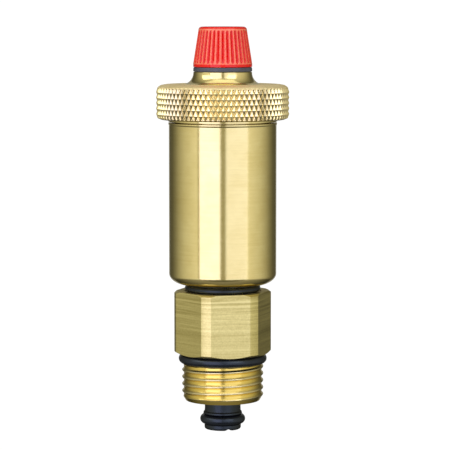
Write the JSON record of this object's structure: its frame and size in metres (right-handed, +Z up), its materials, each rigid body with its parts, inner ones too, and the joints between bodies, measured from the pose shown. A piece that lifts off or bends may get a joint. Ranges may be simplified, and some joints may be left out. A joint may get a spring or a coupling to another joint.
{
  "type": "automatic air vent",
  "caption": "Brass float-operated air vent with a red screw cap, a knurled cover and a hexagon shut-off valve with a half-inch male pipe thread.",
  "frame": {"origin": "middle of the hexagon's underside, the shoulder above the male pipe thread", "axes": "+Z up along the vent's axis towards the cap, -Y and +Y out of two opposite flats of the hexagon, +X to the right seen from -Y"},
  "size_m": [0.034, 0.034, 0.1035],
  "materials": {
    "brass_turned": "fine turned satin brass",
    "brass_milled": "milled brass with fine cross lines, turned threads",
    "red_plastic": "moulded red plastic with a soft gloss",
    "black_plastic": "moulded black plastic",
    "black_rubber": "smooth black rubber",
    "grey_rubber": "dark grey rubber",
    "float_plastic": "moulded off-white plastic",
    "stainless_steel": "bright stainless steel"
  },
  "bodies": {
    "check_valve": {"check_valve_body": "brass_milled", "thread_seal": "black_rubber", "plunger_spring": "stainless_steel"},
    "plunger": {"plunger": "black_plastic", "plunger_seal": "black_rubber"},
    "vent_seal": {"vent_seal": "black_rubber"},
    "vent": {"float_chamber": "brass_turned"},
    "cover_seal": {"cover_seal": "black_rubber"},
    "cover": {"cover": "brass_turned", "valve_seat": "brass_turned", "seat_seal": "black_rubber", "lever_bracket": "stainless_steel", "bracket_circlip": "stainless_steel", "lever_pivot_pin": "stainless_steel", "valve_spring": "stainless_steel"},
    "cap_seal": {"cap_seal": "grey_rubber"},
    "cap": {"cap": "red_plastic"},
    "float": {"float_shell": "float_plastic", "float_base": "float_plastic", "float_link_pin": "stainless_steel"},
    "lever": {"float_lever": "stainless_steel"},
    "valve_pin": {"valve_pin": "brass_turned", "valve_pad": "black_rubber"}
  },
  "joints": [
    {"name": "vent_lift", "type": "slide", "parent": "check_valve", "child": "vent_seal", "axis": [0, 0, 1], "range_m": [0, 0.00388]},
    {"name": "vent_turn", "type": "hinge", "parent": "vent_seal", "child": "vent", "pos_m": [0, 0, 0.012], "axis": [0, 0, 1], "range_deg": [0, 1045]},
    {"name": "plunger_rise", "type": "slide", "parent": "check_valve", "child": "plunger", "axis": [0, 0, 1], "range_m": [0, 0.00388], "deforming": ["plunger_spring"]},
    {"name": "cover_lift", "type": "slide", "parent": "vent", "child": "cover_seal", "axis": [0, 0, 1], "range_m": [0, 0.0045]},
    {"name": "cover_turn", "type": "hinge", "parent": "cover_seal", "child": "cover", "pos_m": [0, 0, 0.063], "axis": [0, 0, 1], "range_deg": [0, 1080.5]},
    {"name": "cap_lift", "type": "slide", "parent": "cover", "child": "cap_seal", "axis": [0, 0, 1], "range_m": [0, 0.003]},
    {"name": "cap_turn", "type": "hinge", "parent": "cap_seal", "child": "cap", "pos_m": [0, 0, 0.076], "axis": [0, 0, 1], "range_deg": [0, 1080.5]},
    {"name": "float_rise", "type": "slide", "parent": "cover", "child": "float", "axis": [0, 0, 1], "range_m": [0, 0.0024]},
    {"name": "lever_swing", "type": "hinge", "parent": "cover", "child": "lever", "pos_m": [-0.0065, 0, 0.061], "axis": [0, -1, 0], "range_deg": [0, 10.6]},
    {"name": "pin_rise", "type": "slide", "parent": "cover", "child": "valve_pin", "axis": [0, 0, 1], "range_m": [0, 0.00121], "deforming": ["valve_spring"]}
  ],
  "couplings": [
    {"joint": "vent_turn", "follows": "vent_lift", "rad_per_m": 4699.5},
    {"joint": "plunger_rise", "follows": "vent_lift", "ratio": 1},
    {"joint": "cover_turn", "follows": "cover_lift", "rad_per_m": 4188.8},
    {"joint": "cap_turn", "follows": "cap_lift", "rad_per_m": 6283.2},
    {"joint": "lever_swing", "follows": "float_rise", "rad_per_m": 76.923},
    {"joint": "pin_rise", "follows": "float_rise", "ratio": 0.5}
  ]
}
